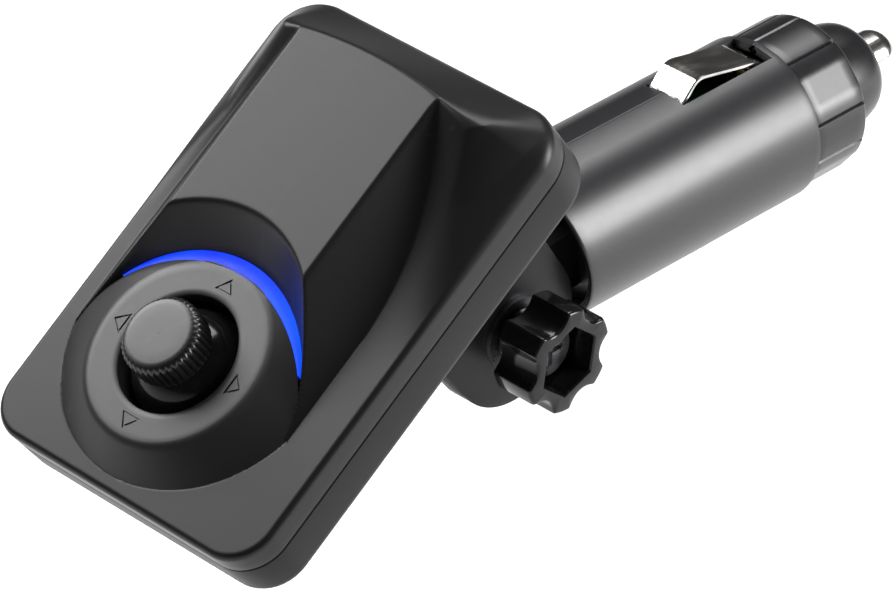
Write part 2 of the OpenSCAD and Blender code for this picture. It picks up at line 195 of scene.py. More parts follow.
def apply_modifiers(piece, sharp=35):
    """Turns the piece's modifiers into its mesh."""
    bpy.context.view_layer.update()
    graph = bpy.context.evaluated_depsgraph_get()
    data = bpy.data.meshes.new_from_object(piece.evaluated_get(graph))
    piece.modifiers.clear()
    piece.data = data
    bm = bmesh.new()
    bm.from_mesh(data)
    mark_sharp(bm, sharp)
    bm.to_mesh(data)
    bm.free()


def thicken(piece, thickness):
    """Gives an open skin a wall on its inner side."""
    wall = piece.modifiers.new("wall", "SOLIDIFY")
    wall.thickness = thickness * MM
    wall.offset = -1
    apply_modifiers(piece)


def circle(radius, bearings):
    """The points of a circle at the given angles."""
    return [(radius * math.cos(a), radius * math.sin(a)) for a in bearings]


def cylinder(radius, low, high, place, steps=48):
    """A round cutter."""
    return prism("cutter", circle(radius, angles(steps)), low, high, place)


def end_caps(points, count):
    """The two faces that close a loft whose first and last rings have count points."""
    return [tuple(range(count)), tuple(range(len(points) - 1, len(points) - 1 - count, -1))]


# ---- materials ---------------------------------------------------------------

def new_material(name):
    """A material with one Principled shader: (material, its node tree, the shader)."""
    material = bpy.data.materials.new(name)
    material.use_nodes = True
    tree = material.node_tree
    tree.nodes.clear()
    out = tree.nodes.new("ShaderNodeOutputMaterial")
    shader = tree.nodes.new("ShaderNodeBsdfPrincipled")
    tree.links.new(shader.outputs[0], out.inputs[0])
    return material, tree, shader


def noise(tree, scale, detail=3.0, stretch=None):
    """A noise in the object's own coordinates; scale is features per metre."""
    where = tree.nodes.new("ShaderNodeTexCoord")
    texture = tree.nodes.new("ShaderNodeTexNoise")
    texture.inputs["Scale"].default_value = scale
    texture.inputs["Detail"].default_value = detail
    source = where.outputs["Object"]
    if stretch:
        mapping = tree.nodes.new("ShaderNodeMapping")
        mapping.inputs["Scale"].default_value = stretch
        tree.links.new(source, mapping.inputs["Vector"])
        source = mapping.outputs[0]
    tree.links.new(source, texture.inputs["Vector"])
    return texture.outputs["Fac"]


def mapped(tree, source, low, high, start=0.3, end=0.7):
    """The source's range from start to end, stretched to low to high."""
    node = tree.nodes.new("ShaderNodeMapRange")
    node.inputs["From Min"].default_value = start
    node.inputs["From Max"].default_value = end
    node.inputs["To Min"].default_value = low
    node.inputs["To Max"].default_value = high
    tree.links.new(source, node.inputs["Value"])
    return node.outputs[0]


def blended(tree, factor, first, second):
    """A colour between two; the first may be another node's output."""
    node = tree.nodes.new("ShaderNodeMix")
    node.data_type = "RGBA"
    tree.links.new(factor, node.inputs["Factor"])
    if isinstance(first, tuple):
        node.inputs["A"].default_value = (*first, 1)
    else:
        tree.links.new(first, node.inputs["A"])
    node.inputs["B"].default_value = (*second, 1)
    return node.outputs["Result"]


def bumped(tree, shader, height, strength, distance):
    """Relief from a height, its distance in millimetres."""
    node = tree.nodes.new("ShaderNodeBump")
    node.inputs["Strength"].default_value = strength
    node.inputs["Distance"].default_value = distance * MM
    tree.links.new(height, node.inputs["Height"])
    tree.links.new(node.outputs[0], shader.inputs["Normal"])


def plastic(name, dark, light, rough, grain=5200, strength=0.25, depth=0.02, specular=0.5):
    """Moulded plastic: a fine spark-eroded grain, handling marks in its roughness, and a painted highlight
    that makes its sharp edges paler.
    """
    material, tree, shader = new_material(name)
    base = blended(tree, mapped(tree, noise(tree, 900, 4), 0, 1), dark, light)
    shape = tree.nodes.new("ShaderNodeNewGeometry")
    # painted highlight: sharp convex edges are painted paler, standing in for the light that their small
    # rounding catches
    painted_edge_highlight = mapped(tree, shape.outputs["Pointiness"], 0, 0.35, 0.53, 0.62)
    edge = tuple(min(1, 2.2 * c + 0.01) for c in light)
    tree.links.new(blended(tree, painted_edge_highlight, base, edge), shader.inputs["Base Color"])
    marks = mapped(tree, noise(tree, 1300, 5), rough - 0.012, rough + 0.012)
    tree.links.new(marks, shader.inputs["Roughness"])
    bumped(tree, shader, noise(tree, grain, 2), strength, depth)
    shader.inputs["Specular IOR Level"].default_value = specular
    return material


def metal(name, dark, light, rough, stretch=None):
    """Plated or brushed metal: streaks and small scratches in its polish."""
    material, tree, shader = new_material(name)
    streaks = noise(tree, 900, 6, stretch)
    tint = blended(tree, mapped(tree, noise(tree, 260, 4), 0, 1), dark, light)
    tree.links.new(tint, shader.inputs["Base Color"])
    polish = mapped(tree, streaks, max(0.02, rough - 0.06), rough + 0.08)
    tree.links.new(polish, shader.inputs["Roughness"])
    bumped(tree, shader, streaks, 0.12, 0.01)
    shader.inputs["Metallic"].default_value = 1.0
    return material


def light_blue():
    """The lit strip: saturated blue, its glow varied in soft cloudy patches."""
    material, tree, shader = new_material("blue_light")
    clouds = mapped(tree, noise(tree, 120, 2), 0, 1, 0.25, 0.75)
    glow = blended(tree, clouds, (0.002, 0.03, 1.0), (0.006, 0.1, 1.0))
    tree.links.new(glow, shader.inputs["Emission Color"])
    body = blended(tree, clouds, (0.01, 0.03, 0.4), (0.02, 0.05, 0.5))
    tree.links.new(body, shader.inputs["Base Color"])
    tree.links.new(mapped(tree, noise(tree, 900, 2), 0.45, 0.55), shader.inputs["Roughness"])
    bumped(tree, shader, noise(tree, 2500, 2), 0.1, 0.01)
    shader.inputs["Specular IOR Level"].default_value = 0.25
    shader.inputs["Emission Strength"].default_value = 0.95
    return material


def glass():
    """The fuse's clear tube."""
    material, tree, shader = new_material("fuse_glass")
    clouds = mapped(tree, noise(tree, 500, 3), 0, 1)
    tint = blended(tree, clouds, (0.82, 0.9, 0.92), (0.9, 0.96, 0.97))
    tree.links.new(tint, shader.inputs["Base Color"])
    tree.links.new(mapped(tree, noise(tree, 900, 2), 0.03, 0.08), shader.inputs["Roughness"])
    bumped(tree, shader, noise(tree, 800, 2), 0.05, 0.01)
    shader.inputs["Transmission Weight"].default_value = 0.9
    shader.inputs["IOR"].default_value = 1.5
    return material


def floor_material():
    """A pale matt floor, lit a little from within so that it stays white."""
    material, tree, shader = new_material("floor")
    clouds = mapped(tree, noise(tree, 3, 3), 0, 1)
    pale = blended(tree, clouds, (0.93, 0.93, 0.935), (0.94, 0.94, 0.94))
    tree.links.new(pale, shader.inputs["Base Color"])
    tree.links.new(pale, shader.inputs["Emission Color"])
    shader.inputs["Emission Strength"].default_value = 0.2
    tree.links.new(mapped(tree, noise(tree, 60, 3), 0.75, 0.9), shader.inputs["Roughness"])
    bumped(tree, shader, noise(tree, 900, 2), 0.02, 0.02)
    shader.inputs["Specular IOR Level"].default_value = 0.1
    return material


# name: (dark, light, roughness, and then where they differ from the usual: the grain's
# features per metre, its strength, its depth in millimetres and the specular level)
PLASTICS = {
    "barrel_plastic": ((0.014, 0.014, 0.0165), (0.015, 0.015, 0.0175), 0.36, 5200, 0.25, 0.02, 0.7),
    "gloss_black": ((0.006, 0.006, 0.007), (0.01, 0.01, 0.011), 0.14, 1500, 0.06, 0.01, 0.32),
    "nose_plastic": ((0.01, 0.01, 0.011), (0.015, 0.015, 0.017), 0.3, 2500, 0.12, 0.01, 0.6),
    "cover_plastic": ((0.0118, 0.0113, 0.012), (0.0125, 0.012, 0.0127), 0.38, 5200, 0.25, 0.02, 0.34),
    "bezel_plastic": ((0.0205, 0.02, 0.0205), (0.0215, 0.021, 0.0215), 0.4, 5200, 0.25, 0.02, 0.62),
    "knob_plastic": ((0.008, 0.008, 0.008), (0.009, 0.009, 0.009), 0.33, 3000, 0.2, 0.01, 0.6),
    "rear_plastic": ((0.0105, 0.0105, 0.012), (0.0115, 0.0115, 0.013), 0.44, 3800, 0.4, 0.03, 0.26),
    "speaker_black": ((0.012, 0.012, 0.012), (0.02, 0.02, 0.02), 0.6),
    "wire_skin": ((0.02, 0.02, 0.02), (0.03, 0.03, 0.03), 0.5, 1500),
    "insulator": ((0.6, 0.57, 0.5), (0.68, 0.65, 0.58), 0.5),
    "ceramic": ((0.58, 0.5, 0.35), (0.66, 0.58, 0.42), 0.6),
    "board": ((0.012, 0.09, 0.045), (0.02, 0.12, 0.06), 0.35, 1200, 0.3, 0.05),
    "led_white": ((0.75, 0.78, 0.8), (0.85, 0.88, 0.9), 0.2),
}
# name: (dark, light, roughness, and the streaks' stretch along x, y and z)
METALS = {
    "nickel": ((0.72, 0.7, 0.67), (0.8, 0.78, 0.75), 0.16, (1, 0.15, 1)),
    "brass_strip": ((0.55, 0.4, 0.16), (0.66, 0.5, 0.22), 0.28),
    "tin_can": ((0.5, 0.5, 0.5), (0.6, 0.6, 0.6), 0.32, (1, 0.1, 1)),
    "steel_zinc": ((0.28, 0.28, 0.29), (0.36, 0.36, 0.37), 0.3),
}
MATERIALS = {name: plastic(name, *values) for name, values in PLASTICS.items()}
MATERIALS |= {name: metal(name, *values) for name, values in METALS.items()}
MATERIALS |= {"blue_light": light_blue(), "fuse_tube": glass()}


def dress(piece, material):
    piece.data.materials.clear()
    piece.data.materials.append(MATERIALS[material])


def stand_for(piece, node, material, body):
    """The piece takes a CAD node's place on its body."""
    dress(piece, material)
    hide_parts(node)
    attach(piece, body)


for part in frame["record"]["subparts"]:
    dress(frame["nodes"][part["node"]], part["material_slot"])

# ---- the head's front cover ---------------------------------------------------

LEFT, RIGHT, BOTTOM, TOP = -19.7, 22.9, -16.7, 44.05
CORNER, TOE = 6.0, 5.5         # radii of the top and the bottom corners
PARTING = -3.3                # where the two covers meet
BACK = -9.2                   # the rear cover's back
PANEL_X, PANEL_H = 10.85, 6.9
PANEL_R = 17.1                # the raised panel ends on this circle round the stick
PANEL_TOP, PANEL_SAG = 39.1, 0.9
SCOOP_U, SCOOP_R = -4.0, 16.9   # foot of the hollow over the light strip
STRIP_U, STRIP_R = -7.5, 18.6   # inner edge of the light strip
BASE_U, BASE_R = 2.63, 17.42    # foot of the pedestal
RING_R, RING_H = 11.23, 3.1
HOLE_R = 7.34
DRAFT = 0.4                   # the bottom wall leans in by this much towards the back
RISE_U, RISE_LENGTH = 9, 29   # where the shoulders beside the panel start to rise, and how long they take
SHOULDER_H, CREASE_X = 6.7, 17.06
SKIN, FILLET = 1.2, 0.7       # the front cover's wall and the radius of its face's edge
STICK_ROOM = 9.4              # the front cover's opening round the stick
SCREW_X, SCREW_U, SCREW_HEAD = 17.3, (-11.3, 39.5), 1.75


def outline_point(a, inset=0.0):
    """A point on the head's rounded outline. a runs from 0 to 1, up the right side first."""
    corners = [(RIGHT - CORNER, TOP - CORNER, CORNER), (LEFT + CORNER, TOP - CORNER, CORNER),
               (LEFT + TOE, BOTTOM + TOE, TOE), (RIGHT - TOE, BOTTOM + TOE, TOE)]
    length = 2 * (RIGHT - LEFT + TOP - BOTTOM) - (4 - math.pi) * (CORNER + TOE)
    run = a % 1.0 * length
    for turn, (x, u, radius) in enumerate(corners):
        facing = math.pi / 2 * turn
        out = Vector((math.cos(facing), math.sin(facing)))
        begin = Vector(corners[turn - 1][:2]) + corners[turn - 1][2] * out
        end = Vector((x, u)) + radius * out
        side = (end - begin).length
        if run <= side:
            return tuple(begin.lerp(end, run / side) - inset * out)
        run -= side
        if run <= math.pi / 2 * radius:
            break
        run -= math.pi / 2 * radius
    bearing = facing + run / radius
    return x + (radius - inset) * math.cos(bearing), u + (radius - inset) * math.sin(bearing)


def depth_inside(x, u):
    """How far points lie inside the head's outline."""
    radius = np.where(u > (TOP + BOTTOM) / 2, CORNER, TOE)
    dx = np.abs(x - (LEFT + RIGHT) / 2) - ((RIGHT - LEFT) / 2 - radius)
    du = np.abs(u - (TOP + BOTTOM) / 2) - ((TOP - BOTTOM) / 2 - radius)
    outside = np.hypot(np.maximum(dx, 0), np.maximum(du, 0))
    return radius - outside - np.minimum(np.maximum(dx, du), 0)


def smooth_min(a, b, width):
    """The lower of two heights, rounded where they cross."""
    h = np.clip(0.5 + 0.5 * (b - a) / width, 0, 1)
    return b + (a - b) * h - width * h * (1 - h)


def cone_share(x, u):
    """How far up the pedestal's oblique cone a point lies, 0 at the foot and 1 at the ring."""
    low, high = np.full_like(x, -0.3), np.full_like(x, 1.0)
    for _ in range(24):
        mid = (low + high) / 2
        inside = np.hypot(x, u - BASE_U * (1 - mid)) < BASE_R + (RING_R - BASE_R) * mid
        low, high = np.where(inside, mid, low), np.where(inside, high, mid)
    return low


def circle_reach(angle, centre_u, radius):
    """From the stick's axis, the distance to a circle round (0, centre_u)."""
    return centre_u * np.sin(angle) + np.sqrt(radius ** 2 - (centre_u * np.cos(angle)) ** 2)


def face_height(x, u):
    """The height of the front cover over the face plane."""
    side = np.abs(x)
    # beside the panel, a cove falls to a crease and a shoulder carries on to the head's edge
    rise = np.clip((u - RISE_U) / RISE_LENGTH, 0, 1.15)
    foot = np.minimum(SHOULDER_H * rise ** 2.4, PANEL_H - 0.1)
    crease = CREASE_X - 0.9 * foot
    flank = np.clip((side - PANEL_X) / (crease - PANEL_X), -0.3, 1)
    bend = 1.05 + 0.45 * np.clip(rise, 0, 1)
    cove = foot + (PANEL_H - foot) * (1 - flank) ** bend
    edge = np.where(x > 0, RIGHT, -LEFT) - 0.1
    fall = np.clip((side - crease) / (edge - crease), 0, 1)
    shoulder = foot * (1 - fall ** 3)
    height = smooth_min(np.where(side < crease, cove, shoulder), PANEL_H, 0.45)
    # the level face below the pedestal
    level = (u < 0.5) & (np.hypot(x, u - BASE_U) > BASE_R)
    height = np.where(level, 0, height)
    # the end wall, softer towards the corners
    inside = depth_inside(x, u)
    reach = TOP - PANEL_TOP + PANEL_SAG * np.clip(side / PANEL_X, 0, 1.6) ** 2
    wall = inside * PANEL_H / reach
    soft = 0.35 + 2.4 * np.clip((side - PANEL_X) / 7, 0, 1)
    height = np.where(height > 0.02, smooth_min(height, wall, np.minimum(soft, 0.15 + height)), height)
    # the scooped hollow over the light strip
    angle = np.arctan2(u, x)
    away = np.hypot(x, u)
    scoop_reach = circle_reach(angle, SCOOP_U, SCOOP_R)
    foot_h = RING_H * np.clip(cone_share(scoop_reach * np.cos(angle), scoop_reach * np.sin(angle)), 0, 1)
    gone = np.clip((away - scoop_reach) / np.maximum(PANEL_R - scoop_reach, 0.25), 0, 2)
    hollow = foot_h + (PANEL_H - foot_h) * gone ** 1.15
    scooped = smooth_min(height, np.maximum(hollow, 0), np.clip(0.45 * height, 1e-4, 0.45))
    height = np.where((u > -2.2) & ~level, scooped, height)
    # under the pedestal
    under = np.minimum(BASE_R - np.hypot(x, u - BASE_U), SCOOP_R - np.hypot(x, u - SCOOP_U))
    sunk = RING_H * np.clip(cone_share(x, u), -0.1, 1) - np.minimum(2.5 * np.maximum(under, 0), 0.7)
    return np.where(under > 0, sunk, height)


def drafted(u, h):
    """The bottom wall leans in behind the face."""
    return u + DRAFT * np.clip(-h / -BACK, 0, 1) * np.clip(-u / -BOTTOM, 0, 1)


def outline_ring(around, inset):
    """The head's outline as an array of points."""
    return np.array([outline_point(i / around, inset) for i in range(around)])


def cover_ring(around, inset, h):
    """The outline at a height behind the face, leaning in with the bottom wall."""
    ring = outline_ring(around, inset)
    return np.column_stack([ring[:, 0], drafted(ring[:, 1], h), np.full(around, h)])


def front_cover():
    """A net of rings, from the parting line over the face's edge and in to the head's spine."""
    around, inward, corner_steps = 900, 124, 6
    half_width = (RIGHT - LEFT) / 2
    rim = outline_ring(around, 0)
    middle = np.full(around, (LEFT + RIGHT) / 2)
    spine = np.stack([middle, np.clip(rim[:, 1], BOTTOM + half_width, TOP - half_width)], 1)
    rings = []
    for h, inset in ((PARTING, 0.22), (PARTING + 0.16, 0.03), (PARTING + 0.4, 0), (-2, 0), (-1.2, 0)):
        rings.append(cover_ring(around, inset, h))
    for step in range(corner_steps + 1):
        a = math.pi / 2 * step / corner_steps
        ring = outline_ring(around, FILLET * (1 - math.cos(a)))
        lift = face_height(ring[:, 0], ring[:, 1])
        drop = FILLET * (1 - math.sin(a)) * np.clip(1 - lift / 3, 0, 1)
        rings.append(np.column_stack([ring, lift - drop]))
    start = outline_ring(around, FILLET)
    for step in range(1, inward + 1):
        ring = start + (spine - start) * (step / inward)
        rings.append(np.column_stack([ring, face_height(ring[:, 0], ring[:, 1])]))
    points, faces = loft([ring.tolist() for ring in rings], closed=False)
    kept = [face for face in faces if min(math.hypot(*points[i][:2]) for i in face) > STICK_ROOM]
    piece = make_mesh("front_shell", points, kept, HEAD, 60)
    bm = bmesh.new()
    bm.from_mesh(piece.data)
    loose = [v for v in bm.verts if not v.link_faces]
    bmesh.ops.delete(bm, geom=loose, context="VERTS")
    bm.to_mesh(piece.data)
    bm.free()
    flip_to(piece, OUT)
    thicken(piece, SKIN)
    stand_for(piece, "front_cover", "cover_plastic", "head")


def flip_to(piece, direction):
    """Turns an open skin's normals to the given side."""
    total = sum((p.normal * p.area for p in piece.data.polygons), Vector())
    if total.dot(direction) < 0:
        piece.data.flip_normals()


# ---- pedestal, light strip and joystick ----------------------------------------

def cone_point(angle, share):
    """A point on the pedestal's cone."""
    off = BASE_U * (1 - share)
    radius = BASE_R + (RING_R - BASE_R) * share
    reach = off * math.sin(angle) + math.sqrt(radius ** 2 - (off * math.cos(angle)) ** 2)
    return reach, RING_H * share


def share_at(angle, reach):
    """How far up the cone it comes within the given distance of the stick's axis."""
    low, high = -0.1, 1.0
    for _ in range(30):
        mid = (low + high) / 2
        low, high = (mid, high) if cone_point(angle, mid)[0] > reach else (low, mid)
    return low


def upright(angle, section):
    """Points of a (reach, height) section that stands at an angle round the stick."""
    return [(reach * math.cos(angle), reach * math.sin(angle), h) for reach, h in section]


def joystick_bezel():
    """The pedestal: a flat ring, an oblique cone, and a cut where the light strip and scoop meet it."""
    fit, lip, flat_steps, cone_steps = 0.04, HOLE_R + 0.28, 6, 8
    sections = []
    for a in angles(288):
        limit = cone_point(a, -0.06)[0]
        if math.sin(a) >= -0.2:
            for centre_u, radius in ((SCOOP_U, SCOOP_R), (STRIP_U, STRIP_R)):
                limit = min(limit, float(circle_reach(a, centre_u, radius)) - fit)
        end = share_at(a, limit)
        reach = min(RING_R, limit)
        ring = [(HOLE_R + 0.25, -1.4), (HOLE_R, -1.4), (HOLE_R, RING_H - 0.3),
                (HOLE_R + 0.06, RING_H - 0.1), (lip, RING_H)]
        for k in range(1, flat_steps + 1):
            ring.append((lip + (reach - 0.42 - lip) * k / flat_steps, RING_H))
        ring.append((reach - 0.2, RING_H - 0.03))
        first = share_at(a, reach) - 0.04
        for k in range(cone_steps + 1):
            ring.append(cone_point(a, first + (end - first) * k / cone_steps))
        foot, h = ring[-1]
        ring += [(foot - 0.02, h - 0.12), (foot - 0.05, min(h - 0.5, -0.6)), (foot - 1.2, min(h - 0.6, -1.0))]
        sections.append(upright(a, ring))
    columns = list(map(list, zip(*sections)))
    piece = make_mesh("pedestal", *loft(columns), HEAD, 32)
    for turn in range(4):
        piece = combine(piece, arrow_groove(math.pi / 2 * turn), "DIFFERENCE", 32)
    stand_for(piece, "joystick_bezel", "bezel_plastic", "head")


def arrow_groove(turn):
    """A thin triangular groove that points away from the stick."""
    centre, size, line, deep = 9.25, 1.35, 0.24, 0.16
    place = HEAD @ Matrix.Rotation(turn, 4, "Z") @ Matrix.Translation((centre, 0, 0))

    def triangle(grow):
        tip, base, half = size * 0.72 + 1.9 * grow, -size * 0.62 - grow, size + 1.6 * grow
        return [(tip, 0), (base, half), (base, -half)]

    outer = prism("cutter", triangle(0), RING_H - deep, RING_H + 1, place)
    inner = prism("core", triangle(-line), RING_H - 1, RING_H + 2, place)
    return combine(outer, inner, "DIFFERENCE")


def light_strip():
    """The lit crescent between the pedestal and the scoop."""
    tip_x, tip_u, steps, across = 14.0, 4.74, 120, 6
    low = math.atan2(tip_u, tip_x) + 0.004
    high = math.pi - low
    sections = []
    for i in range(steps + 1):
        a = low + (high - low) * i / steps
        inner = float(circle_reach(a, STRIP_U, STRIP_R))
        outer = float(circle_reach(a, SCOOP_U, SCOOP_R)) - 0.02
        ring = []
        for k in range(across + 1):
            reach = inner + (outer - inner) * k / across
            h = cone_point(a, share_at(a, reach))[1] + 0.12 * math.sin(math.pi * k / across)
            ring.append((reach, h - 0.03))
        ring += [(outer, ring[-1][1] - 1.5), (inner, ring[0][1] - 1.5)]
        sections.append(upright(a, ring))
    points, faces = loft(sections, closed=False)
    faces += end_caps(points, len(sections[0]))
    piece = make_mesh("light_strip", points, faces, HEAD)
    stand_for(piece, "light_guide", "blue_light", "head")


def knob_cap():
    """The joystick's cap, with a knurled side and a level top."""
    teeth, base_r, tooth = 40, 4.58, 0.26
    top, low = 7.8, 4.0
    profile = [(1.1, low + 1.2), (3.0, low + 0.4), (4.45, low + 0.05), (base_r, low + 0.02)]
    profile += [(base_r, low + (top - 0.75 - low) * k / 5) for k in range(1, 6)]
    profile += [(base_r - 0.05, top - 0.45), (base_r - 0.18, top - 0.18), (base_r - 0.42, top - 0.04)]
    profile += [(3.6, top - 0.01), (2.4, top), (1.0, top), (0.05, top), (0.05, low + 1.3)]

    def knurl(r, z, a):
        if r < base_r - 0.2:
            return r
        share = min(1, max(0, (top - 0.1 - z) / 0.5)) * min(1, max(0.3, (z - low) / 0.5))
        wave = abs(math.cos(a * teeth / 2)) ** 0.8
        return r + tooth * share * wave

    piece = lathe("stick_cap", profile, HEAD, 400, knurl, sharp=75)
    stand_for(piece, "knob_cap", "knob_plastic", "joystick")


def knob_dome():
    """The dome under the cap, round the joystick's pivot."""
    outer, inner, low, steps = 7.25, 6.75, 0.7 - PIVOT_H, 20

    def arc(radius):
        start, end = math.asin(low / radius), math.radians(80)
        bearings = [start + (end - start) * k / steps for k in range(steps + 1)]
        return [(r, PIVOT_H + h) for r, h in circle(radius, bearings)]

    profile = arc(outer) + arc(inner)[::-1]
    piece = lathe("stick_dome", profile, HEAD, 120)
    stand_for(piece, "knob_dome", "gloss_black", "joystick")


# ---- rear cover with its fork ---------------------------------------------------

def rear_cover():
    """A tray with a rounded back edge, its fork, and its screw recesses and speaker holes."""
    around, wall, round_edge, steps = 240, 1.6, 1.5, 6
    sections = [(PARTING - 0.02, 0.22), (PARTING - 0.18, 0.03), (PARTING - 0.4, 0)]
    for k in range(steps + 1):
        a = math.pi / 2 * k / steps
        sections.append((BACK + round_edge * (1 - math.sin(a)), 0.02 + round_edge * (1 - math.cos(a))))
    lip = cover_ring(around, wall, PARTING)
    lip[:, 2] -= 0.02
    rings = [cover_ring(around, wall, BACK + wall), lip]
    rings += [cover_ring(around, inset, h) for h, inset in sections]
    points, faces = loft([ring.tolist() for ring in rings], closed=False)
    faces += end_caps(points, around)
    piece = make_mesh("rear_shell", points, faces, HEAD)
    piece = combine(piece, fork(), "UNION")
    for x in (-SCREW_X, SCREW_X):
        for u in SCREW_U:
            place = HEAD @ Matrix.Translation((x + (LEFT + RIGHT) / 2, u, 0))
            piece = combine(piece, cylinder(SCREW_HEAD, BACK - 1, BACK + 1.4, place), "DIFFERENCE")
    grille_u, grille_r, hole_r = -1, 2.6, 0.6
    for x, u in circle(grille_r, angles(6)) + [(0, 0)]:
        place = HEAD @ Matrix.Translation((x, grille_u + u, 0))
        piece = combine(piece, cylinder(hole_r, BACK - 1, BACK + 3, place, 24), "DIFFERENCE")
    stand_for(piece, "rear_cover", "rear_plastic", "head")


def fork():
    """Two ears round the plug's knuckle, with the clamp screw's bore and a pocket for its nut."""
    ear, half, gap, far = 9.45, 7.0, 3.65, 14
    knuckle_room, screw_room, nut_room, nut_depth = 10.4, 2.05, 4.1, 2.35
    reach = BACK - HINGE_H
    outline = circle(ear, np.linspace(math.pi, 2 * math.pi, 49))
    outline += [(ear + 2, reach + 0.4), (-ear - 1, reach + 0.4)]
    place = placed(UP, OUT, X, HINGE)
    piece = prism("fork", outline, -half, half, place, 0.5, 3)
    room = circle(knuckle_room, np.linspace(0, math.pi, 41))
    room += [(-far, 0), (-far, -far), (far, -far), (far, 0)]
    piece = combine(piece, prism("cutter", room, -gap, gap, place), "DIFFERENCE")
    piece = combine(piece, cylinder(screw_room, -10, 10, place), "DIFFERENCE")
    pocket = prism("cutter", circle(nut_room, angles(6)), -half - 1, -half + nut_depth, place)
    return combine(piece, pocket, "DIFFERENCE")


# ---- plug -------------------------------------------------------------------------

BARREL_R, BARREL_WALL, BARREL_END = 10.4, 1.1, 38.9
SLANT = math.tan(math.radians(10.5))
SLOT_X, SLOT_BACK, SLOT_FRONT = 3.1, 22.7, 37.9
BARREL_SCREW_Y, BARREL_SCREW_Z = 14, 6.4


def barrel_half(name, node, side):
    """One half of the barrel, split along x = 0, with the contact slots left open."""
    seam = math.degrees(0.1 / BARREL_R)
    slot_a = math.degrees(math.acos(SLOT_X / BARREL_R))
    turns = [-90, -90 + seam, -90 + 3 * seam, -slot_a]
    turns += [-slot_a + (2 * slot_a) * k / 48 for k in range(1, 48)]
    turns += [slot_a, 90 - 3 * seam, 90 - seam, 90]
    runs = [0, 0.12, 0.3] + list(np.linspace(1.5, SLOT_BACK, 14))
    runs += list(np.linspace(SLOT_BACK, SLOT_FRONT, 12)[1:])
    runs += [BARREL_END - 0.25, BARREL_END - 0.08, BARREL_END]
    rim_drop = {0: 0.14, 0.12: 0.03, BARREL_END - 0.08: 0.03, BARREL_END: 0.14}
    points, faces = [], []
    for y in runs:
        for turn in turns:
            a = math.radians(turn)
            r = BARREL_R
            if abs(turn) > 90 - seam / 2:
                r -= 0.1
            r -= rim_drop.get(y, 0)
            z = BARREL_R * math.sin(a)
            fade = max(0, 1 - y / 12)
            points.append((side * r * math.cos(a), y - SLANT * z * fade, r * math.sin(a)))
    count = len(turns)
    for i in range(len(runs) - 1):
        for j in range(count - 1):
            middle = (turns[j] + turns[j + 1]) / 2
            if abs(middle) > slot_a and SLOT_BACK < (runs[i] + runs[i + 1]) / 2 < SLOT_FRONT:
                continue
            faces.append((i * count + j, i * count + j + 1, (i + 1) * count + j + 1, (i + 1) * count + j))
    piece = make_mesh(name, points, faces, ROW)
    flip_to_outside(piece)
    thicken(piece, BARREL_WALL)
    if side < 0:
        for s in (-1, 1):
            place = placed(Y, Z, X, Vector((0, BARREL_SCREW_Y, s * BARREL_SCREW_Z)))
            piece = combine(piece, cylinder(SCREW_HEAD, -14, -4, place), "DIFFERENCE")
    stand_for(piece, node, "barrel_plastic", "plug")


def flip_to_outside(piece):
    """Turns a tube skin's normals away from the plug's axis."""
    def outward(face):
        return face.area * face.normal.dot(Vector((face.center.x, 0, face.center.z)).normalized())

    if sum(outward(face) for face in piece.data.polygons) < 0:
        piece.data.flip_normals()


def nose_cap():
    """The fluted cap and the tapering nose that the pin comes out of."""
    end, nose_steps = BARREL_END + 8.7, 14
    grooves = [math.radians(g + s) for g in (15, 64, 96, 116, 165) for s in (0, 180)]
    flats = [math.radians(f + s) for f in (38.5, 141.5) for s in (0, 180)]
    flat_half = math.radians(11.5)
    turns = {round(2 * math.pi * i / 144, 5) for i in range(144)}
    for g in grooves:
        for d in (-2.2, -1.5, -1.1, -0.5, 0, 0.5, 1.1, 1.5, 2.2):
            turns.add(round((g + math.radians(d)) % (2 * math.pi), 5))
    turns = sorted(turns)
    grip = 9.9
    profile = [(8.45, BARREL_END + 0.02), (9.6, BARREL_END + 0.02), (9.82, BARREL_END + 0.1),
               (grip, BARREL_END + 0.3)]
    profile += [(grip, BARREL_END + 0.3 + 7.9 * k / 6) for k in range(1, 7)]
    profile += [(grip - 0.05, end - 0.32), (grip - 0.2, end - 0.1), (grip - 0.42, end), (7.25, end),
                (7.05, end + 0.12)]
    for k in range(nose_steps + 1):
        t = k / nose_steps
        profile.append((7.0 - 0.55 * t - 0.75 * t ** 2.5 - 1.3 * t ** 9, end + 0.4 + 7.8 * t ** 0.8))
    profile += [(3.5, end + 8.2), (3.45, end + 8.1), (3.45, end - 3), (8.42, end - 3.2)]

    def fluted(r, z, a):
        if r < 8.8:
            return r
        deep = 0.0
        for g in grooves:
            off = abs((a - g + math.pi) % (2 * math.pi) - math.pi)
            deep = max(deep, 0.4 * max(0, 1 - math.degrees(off) / 1.5))
        for f in flats:
            off = abs((a - f + math.pi) % (2 * math.pi) - math.pi)
            if off < flat_half:
                deep = max(deep, r * (1 - math.cos(flat_half) / math.cos(off)))
        return r - deep

    piece = lathe("nose_grip", profile, AXLE, turns, fluted, sharp=28)
    stand_for(piece, "nose_cap", "nose_plastic", "plug")


def center_pin():
    """The sprung pin: a round-nosed rod with a collar that stops it inside the nose."""
    radius, tip, back, collar, steps = 3.2, 61.9, 49.6, 4.7, 14
    shoulder = tip - radius + 0.3
    profile = [(0.02, back), (radius, back), (radius, 51.6), (collar, 52.6), (collar, 54.1), (radius, 54.1)]
    profile += [(radius, 56), (radius, shoulder)]
    for k in range(1, steps):
        a = math.pi / 2 * k / steps
        profile.append((radius * math.cos(a), shoulder + (radius - 0.3) * math.sin(a)))
    profile += [(0.02, tip)]
    piece = lathe("contact_pin", profile, AXLE, 72)
    stand_for(piece, "center_pin", "nickel", "center_contact")


